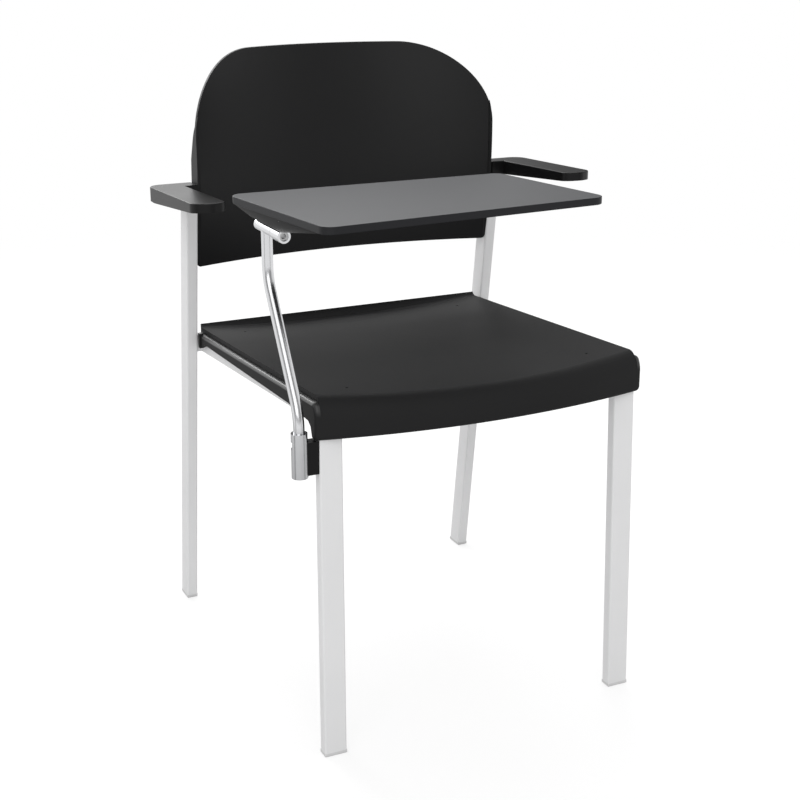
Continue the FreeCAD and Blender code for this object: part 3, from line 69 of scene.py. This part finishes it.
class Finish:
    """A node material, or a world, that is written as plain calls."""

    def __init__(self, tree):
        self.tree = tree
        self.tree.nodes.clear()

    def feed(self, socket, value):
        """Link a signal to a socket, or set the socket's own value."""
        if isinstance(value, Signal):
            self.tree.links.new(value.socket, socket)
        else:
            socket.default_value = value

    def node(self, kind, settings=None, inputs=None, output=0):
        """Add one node with its settings first, then its sockets, and return one output."""
        made = self.tree.nodes.new("ShaderNode" + kind)
        for name, value in (settings or {}).items():
            setattr(made, name, value)
        for name, value in (inputs or {}).items():
            self.feed(made.inputs[name], value)
        return Signal(self, made.outputs[output]) if made.outputs else None

    def place(self):
        """Where a point of the surface lies on the piece, in metres."""
        return self.node("TexCoord", output="Object")

    def upward(self):
        """How far the surface faces up on the piece itself, however the piece is turned."""
        return self.part_of(self.node("TexCoord", output="Normal"), "Z")

    def part_of(self, vector, letter):
        """One coordinate of a vector signal."""
        return self.node("SeparateXYZ", inputs={"Vector": vector}, output=letter)

    def speckle(self, per_metre, detail, roughness=0.5):
        """Noise over the surface, around one half, with a number of blobs per metre."""
        return self.node("TexNoise", inputs={
            "Vector": self.place(),
            "Scale": per_metre,
            "Detail": detail,
            "Roughness": roughness,
        })

    def blend(self, low, high, amount):
        """A colour between two colours or colour signals, by an amount."""
        sockets = {MIX_AMOUNT: amount, MIX_LOW: low, MIX_HIGH: high}
        return self.node("Mix", {"data_type": "RGBA"}, sockets, output=MIX_COLOUR)

    def shade(self, low, high, amount):
        """A colour between two that are given as red, green and blue, by an amount."""
        return self.blend((*low, 1.0), (*high, 1.0), amount)

    def ramp(self, value, start, stop, low, high):
        """A value that goes from low to high as another goes from start to stop, smoothly."""
        return self.node("MapRange", {"interpolation_type": "SMOOTHSTEP"}, {
            "Value": value,
            "From Min": start,
            "From Max": stop,
            "To Min": low,
            "To Max": high,
        })

    def bump(self, height, depth, strength):
        """The surface's direction, roughened by a height signal to a depth in metres."""
        return self.node("Bump", inputs={"Height": height, "Distance": depth, "Strength": strength})

    def surface(self, **sockets):
        """The one shader of a material, from its sockets' names with spaces as underscores."""
        named = {name.replace("_", " "): value for name, value in sockets.items()}
        shader = self.node("BsdfPrincipled", inputs=named)
        self.node("OutputMaterial", inputs={"Surface": shader})


def new_finish(name):
    """A new material and the finish that writes its nodes."""
    material = bpy.data.materials.new(name)
    material.use_nodes = True
    return material, Finish(material.node_tree)


# Finishes of the chair

# The two tones that each finish wavers between
COAT_TONES = ((0.72, 0.72, 0.725), (0.77, 0.77, 0.775))
SEAT_TONES = ((0.0140, 0.0140, 0.0144), (0.0172, 0.0172, 0.0176))
BACK_TONES = ((0.0085, 0.0085, 0.0089), (0.0110, 0.0110, 0.0115))
SMOOTH_TONES = ((0.0048, 0.0048, 0.0050), (0.0065, 0.0065, 0.0068))
HOUSING_TONES = ((0.0055, 0.0055, 0.0060), (0.0075, 0.0075, 0.0082))
BOARD_FACE_TONES = ((0.058, 0.060, 0.064), (0.067, 0.069, 0.073))
BOARD_EDGE_TONES = ((0.008, 0.0084, 0.0102), (0.011, 0.0115, 0.0140))
CHROME_TONES = ((0.71, 0.715, 0.73), (0.77, 0.775, 0.79))
ZINC_TONES = ((0.50, 0.50, 0.51), (0.60, 0.60, 0.60))
# The foot caps' clean and scuffed tones, how high the scuffs reach, and their share at the floor
CAP_TONES = ((0.66, 0.66, 0.66), (0.42, 0.42, 0.41))
SCUFF_HEIGHT = 0.006
SCUFF_SHARE = 0.5
# From the tips of the seat's hooks to the inner side of its ledges, and the width of the blend there
LEDGE_INSET = 0.009
LEDGE_BLEND = 0.001
# How far up a face of the ledges looks where its polish starts, and where it is full
LEDGE_UPWARD = (0.05, 0.35)
# How far up a face of the board looks where the edge's colour ends, and where the face's colour is full
BOARD_UPWARD = (0.80, 0.95)


def powder_coat():
    """White powder coat with a faint orange peel."""
    material, finish = new_finish("white_powder_coat")
    peel = finish.speckle(per_metre=520.0, detail=3.0)
    broad = finish.speckle(per_metre=9.0, detail=2.0)
    finish.surface(
        Base_Color=finish.shade(*COAT_TONES, broad),
        Roughness=0.40 + 0.10 * broad,
        Normal=finish.bump(peel, depth=0.00012, strength=0.35),
    )
    return material


def foot_plastic():
    """Off-white foot caps, scuffed a little grey towards the floor."""
    material, finish = new_finish("foot_plastic")
    scuff = finish.speckle(per_metre=260.0, detail=4.0)
    height = finish.part_of(finish.place(), "Z")
    low = finish.ramp(height, 0.0, SCUFF_HEIGHT, SCUFF_SHARE, 0.0)
    finish.surface(
        Base_Color=finish.shade(*CAP_TONES, low * scuff),
        Roughness=0.46 + 0.14 * scuff,
        Normal=finish.bump(scuff, depth=0.00010, strength=0.3),
    )
    return material


def seat_ledge(finish):
    """One on the upper outer faces of the seat's side strips, and none elsewhere."""
    across = finish.node("Math", {"operation": "ABSOLUTE"}, {0: finish.part_of(finish.place(), "X")})
    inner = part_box("seat_shell")[1][0] - LEDGE_INSET
    outside = finish.ramp(across, inner, inner + LEDGE_BLEND, 0.0, 1.0)
    return outside * finish.ramp(finish.upward(), *LEDGE_UPWARD, 0.0, 1.0)


def moulded_plastic(name, tones, roughness, grain_per_metre, shine, polished=None):
    """Black moulding with a fine leathery grain, slightly uneven gloss, and a coat where it is polished."""
    material, finish = new_finish(name)
    grain = finish.speckle(grain_per_metre, detail=3.0, roughness=0.6)
    broad = finish.speckle(per_metre=7.0, detail=3.0)
    finish.surface(
        Base_Color=finish.shade(*tones, broad),
        Roughness=roughness + 0.07 * broad + 0.05 * grain,
        Specular_IOR_Level=shine,
        Normal=finish.bump(grain, depth=0.00010, strength=0.35),
        Coat_Weight=polished(finish) if polished else 0.0,
        Coat_Roughness=0.32,
    )
    return material


def laminate():
    """Satin laminate of the writing board: grey on its upper face, near black on its edge and underside."""
    material, finish = new_finish("dark_laminate")
    grain = finish.speckle(per_metre=1500.0, detail=2.0)
    broad = finish.speckle(per_metre=5.0, detail=2.0)
    flat = finish.ramp(finish.upward(), *BOARD_UPWARD, 0.0, 1.0)
    face = finish.shade(*BOARD_FACE_TONES, broad)
    edge = finish.shade(*BOARD_EDGE_TONES, grain)
    finish.surface(
        Base_Color=finish.blend(edge, face, flat),
        Roughness=0.40 + 0.06 * broad + 0.04 * grain,
        Specular_IOR_Level=0.30,
        Normal=finish.bump(grain, depth=0.00004, strength=0.3),
    )
    return material


def polished_chrome():
    """Bright plating with faint wiping marks."""
    material, finish = new_finish("polished_chrome")
    smear = finish.speckle(per_metre=60.0, detail=4.0)
    finish.surface(
        Base_Color=finish.shade(*CHROME_TONES, smear),
        Metallic=1.0,
        Roughness=0.16 + 0.06 * smear,
    )
    return material


def zinc_plate():
    """Dull bright screws and pins."""
    material, finish = new_finish("zinc_plate")
    grain = finish.speckle(per_metre=700.0, detail=3.0)
    finish.surface(
        Base_Color=finish.shade(*ZINC_TONES, grain),
        Metallic=1.0,
        Roughness=0.28 + 0.12 * grain,
    )
    return material


WHITE = powder_coat()
FOOT = foot_plastic()
SEAT_BLACK = moulded_plastic(
    "moulded_black", SEAT_TONES, roughness=0.52, grain_per_metre=900.0, shine=0.12, polished=seat_ledge)
BACK_BLACK = moulded_plastic(
    "back_black", BACK_TONES, roughness=0.42, grain_per_metre=900.0, shine=0.22)
SMOOTH_BLACK = moulded_plastic(
    "smooth_black", SMOOTH_TONES, roughness=0.28, grain_per_metre=1400.0, shine=0.20)
HOUSING_BLACK = moulded_plastic(
    "housing_black", HOUSING_TONES, roughness=0.36, grain_per_metre=1100.0, shine=0.14)
LAMINATE = laminate()
CHROME = polished_chrome()
ZINC = zinc_plate()


def dress(material, name):
    """Give a CAD node its one material."""
    slots = nodes[name].data.materials
    slots.clear()
    slots.append(material)


def dress_frame():
    """Finish every node by the material slot that the record gives it, and three mouldings by name."""
    by_slot = {
        "white_tube": WHITE,
        "white_plastic": FOOT,
        "black_plastic": SMOOTH_BLACK,
        "chrome": CHROME,
        "steel": ZINC,
        "grey_board": LAMINATE,
    }
    for part in frame["record"]["subparts"]:
        dress(by_slot[part["material_slot"]], part["node"])
    dress(SEAT_BLACK, "seat_shell")
    dress(BACK_BLACK, "back_shell")
    dress(HOUSING_BLACK, "tablet_housing")


# Studio

CAMERA_SPOT = (-0.8381, -1.7682, 1.0224)
CAMERA_YAW = math.radians(25.207)
CAMERA_DROP = math.radians(18.432)
CAMERA_LENS = 67.04
# Soft boxes: place, the point that they face, side in metres and power in watts
SOFT_BOXES = {
    "front_left_box": ((-1.8, -2.9, 2.6), (0.0, 0.0, 0.4), 3.6, 44.0),
    "top_box": ((0.3, 1.4, 2.6), (0.0, 0.0, 0.4), 2.0, 36.0),
    "rear_left_box": ((-0.7, 2.7, 1.8), (0.0, 0.0, 0.5), 1.0, 15.0),
}
WORLD_LEVEL = 0.90
FLOOR_REACH = 12.0
FLOOR_GREY = (0.6, 0.6, 0.6)
WHITE_LIGHT = (1.0, 1.0, 1.0)
# Each glow and sheen is a ramp: where it starts and stops, and its values there
# By the distance from the chair: the floor's own glow, less near it for its shadow, and its reflected level
FLOOR_GLOW = (1.2, 3.0, 0.70, 1.0)
FLOOR_SHEEN = (0.9, 2.2, 0.50, 0.95)
# Reflected levels of the world by the turn from +Y towards +X, in degrees
BEHIND_SHEEN = (16.0, 33.0, 1.42, 0.14)
LEFT_SHEEN = (-50.0, -5.0, 0.75, 1.0)
RIGHT_SHEEN = (42.0, 70.0, 0.0, 0.75)
# The same by a direction's share upwards, and by its share along the camera's heading
OVERHEAD_SHEEN = (0.50, 0.85, 1.0, 0.45)
FRONT_SHEEN = (-0.7, 0.2, 0.45, 1.0)
# Dark flags beside the camera, as the chair sees them: turn from its direction, and half width, in degrees
FLAGS = ((-53.0, 3.0), (56.0, 2.0))
# The width of a flag's soft edge, in degrees, and the share of the light that is left at a flag
FLAG_EDGE = 5.0
FLAG_LEVEL = 0.42


def seen_rays(finish):
    """Two signals: one for camera rays, and one for rays that gloss or glass sends on."""
    camera = finish.node("LightPath", output="Is Camera Ray")
    glossy = finish.node("LightPath", output="Is Glossy Ray")
    through = finish.node("LightPath", output="Is Transmission Ray")
    return camera, glossy + through


def turn_of(finish, direction):
    """Turn of a direction about Z, from +Y towards +X."""
    across = finish.part_of(direction, "X")
    along = finish.part_of(direction, "Y")
    return finish.node("Math", {"operation": "ARCTAN2"}, {0: across, 1: along})


def turn_ramp(finish, turn, start, stop, low, high):
    """A level that goes from low to high between two turns that are given in degrees."""
    return finish.ramp(turn, math.radians(start), math.radians(stop), low, high)


def between_flags(finish, turn):
    """One, and dimmer where a dark flag stands."""
    level = 1.0
    for flag_turn, half_width in FLAGS:
        middle = CAMERA_YAW - math.pi - math.radians(flag_turn)
        away = finish.node("Math", {"operation": "PINGPONG"}, {0: turn - middle, 1: math.pi})
        level = level * turn_ramp(finish, away, half_width, half_width + FLAG_EDGE, FLAG_LEVEL, 1.0)
    return level


def floor_finish():
    """White with a soft shadow to the camera; reflections find flags on it, and other rays find it grey."""
    material, finish = new_finish("studio_floor")
    camera, sent_on = seen_rays(finish)
    spot = finish.place()
    away = finish.node("VectorMath", {"operation": "LENGTH"}, {0: spot}, output="Value")
    share = camera * finish.ramp(away, *FLOOR_GLOW) + sent_on
    sheen = finish.ramp(away, *FLOOR_SHEEN) * between_flags(finish, turn_of(finish, spot))
    level = camera + sent_on * sheen
    matt = finish.node("BsdfDiffuse", inputs={"Color": finish.shade(FLOOR_GREY, WHITE_LIGHT, camera)})
    glow = finish.node("Emission", inputs={"Color": (*WHITE_LIGHT, 1.0), "Strength": level})
    both = finish.node("MixShader", inputs={0: share, 1: matt, 2: glow})
    finish.node("OutputMaterial", inputs={"Surface": both})
    return material


def studio_floor():
    """A wide flat floor."""
    mesh = bpy.data.meshes.new("studio_floor")
    shape = bmesh.new()
    bmesh.ops.create_grid(shape, x_segments=1, y_segments=1, size=FLOOR_REACH)
    shape.to_mesh(mesh)
    shape.free()
    mesh.materials.append(floor_finish())
    floor = bpy.data.objects.new("studio_floor", mesh)
    bpy.context.scene.collection.objects.link(floor)


def studio_world():
    """White to the camera; reflections find it bright behind on the left, dimmer overhead and in front."""
    world = bpy.data.worlds.new("studio")
    world.use_nodes = True
    bpy.context.scene.world = world
    finish = Finish(world.node_tree)
    camera, sent_on = seen_rays(finish)
    direction = finish.node("TexCoord", output="Generated")
    turn = turn_of(finish, direction)
    heading = (math.sin(CAMERA_YAW), math.cos(CAMERA_YAW), 0.0)
    pair = {0: direction, 1: heading}
    ahead = finish.node("VectorMath", {"operation": "DOT_PRODUCT"}, pair, output="Value")
    sheen = turn_ramp(finish, turn, *BEHIND_SHEEN) * turn_ramp(finish, turn, *LEFT_SHEEN)
    sheen = sheen + turn_ramp(finish, turn, *RIGHT_SHEEN)
    sheen = sheen * finish.ramp(finish.part_of(direction, "Z"), *OVERHEAD_SHEEN)
    sheen = sheen * finish.ramp(ahead, *FRONT_SHEEN) * between_flags(finish, turn)
    strength = camera + sent_on * sheen + (1.0 - camera - sent_on) * WORLD_LEVEL
    light = finish.node("Background", inputs={"Color": (*WHITE_LIGHT, 1.0), "Strength": strength})
    finish.node("OutputWorld", inputs={"Surface": light})


def soft_box(name, spot, aim, size, power):
    """A square area lamp that faces a point."""
    lamp = bpy.data.lights.new(name, "AREA")
    lamp.shape = "SQUARE"
    lamp.size = size
    lamp.energy = power
    made = bpy.data.objects.new(name, lamp)
    made.location = spot
    made.rotation_euler = (Vector(aim) - Vector(spot)).to_track_quat("-Z", "Y").to_euler()
    bpy.context.scene.collection.objects.link(made)


def studio_camera():
    """The camera at the photograph's view."""
    lens = bpy.data.cameras.new("photograph_view")
    lens.lens = CAMERA_LENS
    camera = bpy.data.objects.new("photograph_view", lens)
    camera.location = CAMERA_SPOT
    camera.rotation_euler = (math.pi / 2 - CAMERA_DROP, 0.0, -CAMERA_YAW)
    bpy.context.scene.collection.objects.link(camera)
    bpy.context.scene.camera = camera


def studio():
    """Floor, world, a soft box in front and two behind, and the camera."""
    studio_floor()
    studio_world()
    for name, settings in SOFT_BOXES.items():
        soft_box(name, *settings)
    studio_camera()
    bpy.context.scene.view_settings.view_transform = "Standard"


dress_frame()
studio()
